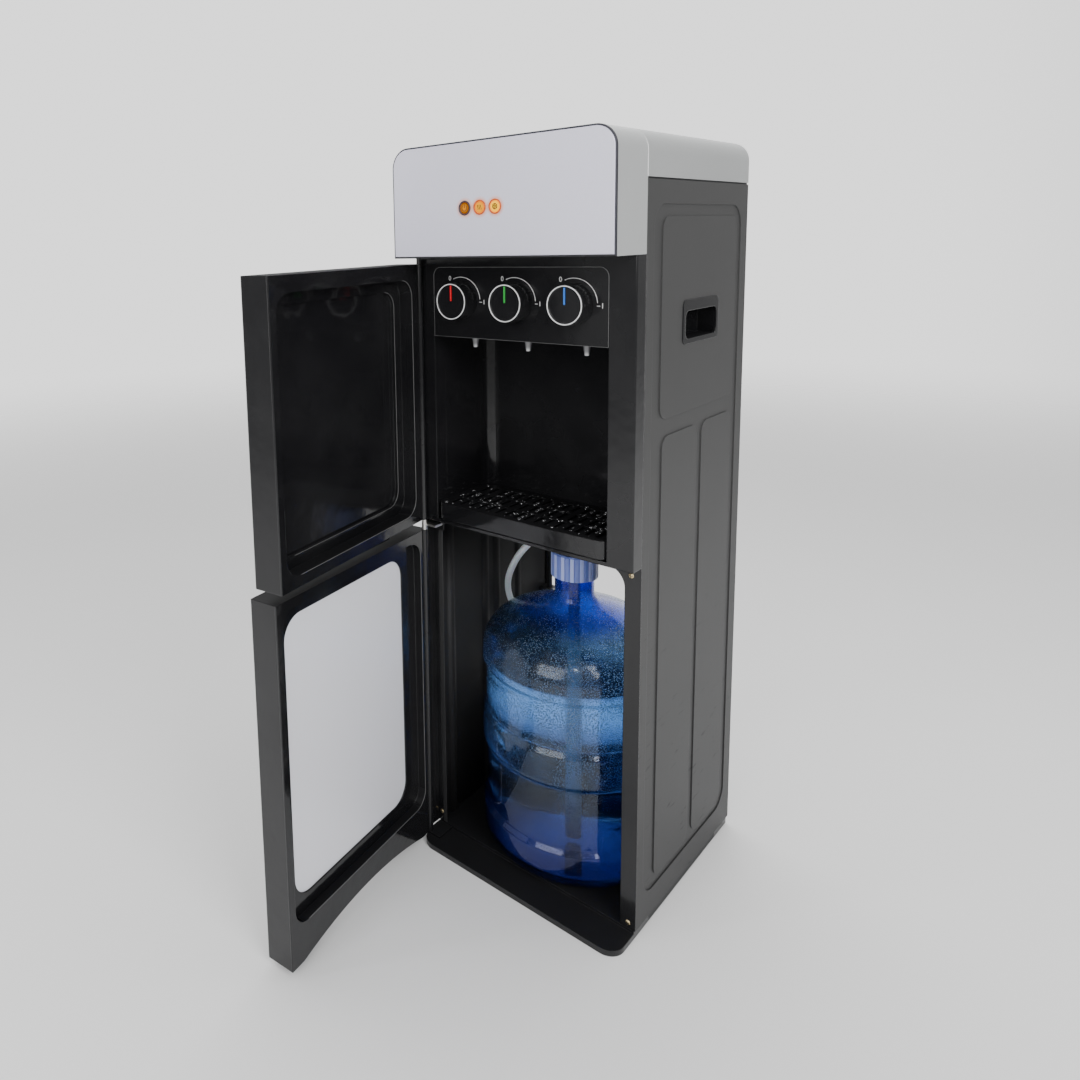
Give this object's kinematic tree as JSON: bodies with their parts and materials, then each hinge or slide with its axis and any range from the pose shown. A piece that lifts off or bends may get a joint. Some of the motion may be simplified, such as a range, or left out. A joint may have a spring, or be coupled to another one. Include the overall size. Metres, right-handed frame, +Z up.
{
  "type": "bottom load water cooler",
  "caption": "Tall water cooler with a bottle bay behind a lower door, a tap niche with knobs behind an upper door, and a drip tray.",
  "frame": {"origin": "on the floor, under the middle of the steel body", "axes": "+Z up, +X to the right seen from the front, +Y to the rear"},
  "size_m": [0.358, 0.6502, 1.015],
  "materials": {
    "black_gloss": "glossy black moulded plastic",
    "black_matte": "fine grained black plastic",
    "fascia_silver": "silver-grey painted plastic",
    "hood_silver": "smooth silver-grey plastic",
    "side_steel": "dark grey coated steel",
    "plain_steel": "bare steel",
    "light_metal": "light metal strip",
    "tank_steel": "stainless steel",
    "foam": "foam jacket",
    "sink_aluminium": "finned aluminium",
    "valve_white": "white plastic",
    "nozzle_clear": "clear plastic",
    "lamp_lens": "tinted clear lens",
    "window_silver": "pale silver panel",
    "bottle_blue": "clear blue polycarbonate",
    "cap_blue": "ribbed blue cap",
    "hose_white": "milky soft hose",
    "switch_black": "black rocker"
  },
  "bodies": {
    "cabinet": {"base_plate": "black_gloss", "front_frame": "black_gloss", "control_panel": "black_gloss", "handle_cup_left": "black_gloss", "handle_cup_right": "black_gloss", "niche_liner": "black_gloss", "top_rim": "black_matte", "fascia_trim": "black_matte", "fan_frame": "black_matte", "switch_plate": "black_matte", "power_gland": "black_matte", "water_pump": "black_matte", "hose_port": "black_matte", "fascia_panel": "fascia_silver", "front_hood": "hood_silver", "top_cover": "hood_silver", "side_panel_left": "side_steel", "side_panel_right": "side_steel", "front_sheet": "side_steel", "rear_panel": "side_steel", "rear_rail": "side_steel", "bay_ceiling": "side_steel", "tank_shelf": "side_steel", "hinge_top": "plain_steel", "hinge_middle": "plain_steel", "hinge_bottom": "plain_steel", "base_rail_left": "light_metal", "base_rail_right": "light_metal", "hot_tank": "tank_steel", "cold_tank": "foam", "heat_sink": "sink_aluminium", "tap_hot": "valve_white", "tap_room": "valve_white", "tap_cold": "valve_white", "nozzle_hot": "nozzle_clear", "nozzle_room": "nozzle_clear", "nozzle_cold": "nozzle_clear", "lamp_power": "lamp_lens", "lamp_hot": "lamp_lens", "lamp_cold": "lamp_lens", "water_lines": "hose_white"},
    "fan": {"fan_rotor": "black_matte"},
    "rocker_hot": {"switch_hot": "switch_black"},
    "rocker_cold": {"switch_cold": "switch_black"},
    "drain": {"drain_cap": "black_matte"},
    "knob_left": {"knob_hot": "black_gloss"},
    "knob_middle": {"knob_room": "black_gloss"},
    "knob_right": {"knob_cold": "black_gloss"},
    "tray": {"drip_tray": "black_gloss", "drip_grille": "black_gloss"},
    "bottle": {"water_bottle": "bottle_blue", "bottle_cap": "cap_blue", "suction_tube": "hose_white", "suction_hose": "hose_white", "hose_plug": "hose_white"},
    "upper_door": {"upper_door_shell": "black_gloss", "upper_door_liner": "black_gloss"},
    "lower_door": {"lower_door_shell": "black_gloss", "lower_door_liner": "black_gloss", "lower_door_window": "window_silver"}
  },
  "joints": [
    {"name": "fan_spin", "type": "hinge", "parent": "cabinet", "child": "fan", "pos_m": [0.066, 0.13, 0.69], "axis": [0, 1, 0], "continuous": true},
    {"name": "hot_rocker_tilt", "type": "hinge", "parent": "cabinet", "child": "rocker_hot", "pos_m": [-0.117, 0.1478, 0.88], "axis": [1, 0, 0], "range_deg": [-16, 0]},
    {"name": "cold_rocker_tilt", "type": "hinge", "parent": "cabinet", "child": "rocker_cold", "pos_m": [-0.091, 0.1478, 0.88], "axis": [1, 0, 0], "range_deg": [-16, 0]},
    {"name": "drain_cap_pull", "type": "slide", "parent": "cabinet", "child": "drain", "axis": [0, 1, 0], "range_m": [0, 0.03]},
    {"name": "knob_left_turn", "type": "hinge", "parent": "cabinet", "child": "knob_left", "pos_m": [-0.0879, -0.172, 0.8152], "axis": [0, 1, 0], "range_deg": [0, 90]},
    {"name": "knob_middle_turn", "type": "hinge", "parent": "cabinet", "child": "knob_middle", "pos_m": [-0.00375, -0.172, 0.8152], "axis": [0, 1, 0], "range_deg": [0, 90]},
    {"name": "knob_right_turn", "type": "hinge", "parent": "cabinet", "child": "knob_right", "pos_m": [0.0804, -0.172, 0.8152], "axis": [0, 1, 0], "range_deg": [0, 90]},
    {"name": "tray_slide", "type": "slide", "parent": "cabinet", "child": "tray", "axis": [0, -1, 0], "range_m": [0, 0.1]},
    {"name": "bottle_slide", "type": "slide", "parent": "cabinet", "child": "bottle", "axis": [0, -1, 0], "range_m": [0, 0.3]},
    {"name": "upper_door_swing", "type": "hinge", "parent": "cabinet", "child": "upper_door", "pos_m": [-0.155, -0.177, 0.68], "axis": [0, 0, -1], "range_deg": [-81, 19]},
    {"name": "lower_door_swing", "type": "hinge", "parent": "cabinet", "child": "lower_door", "pos_m": [-0.155, -0.177, 0.25], "axis": [0, 0, -1], "range_deg": [-83, 17]}
  ]
}
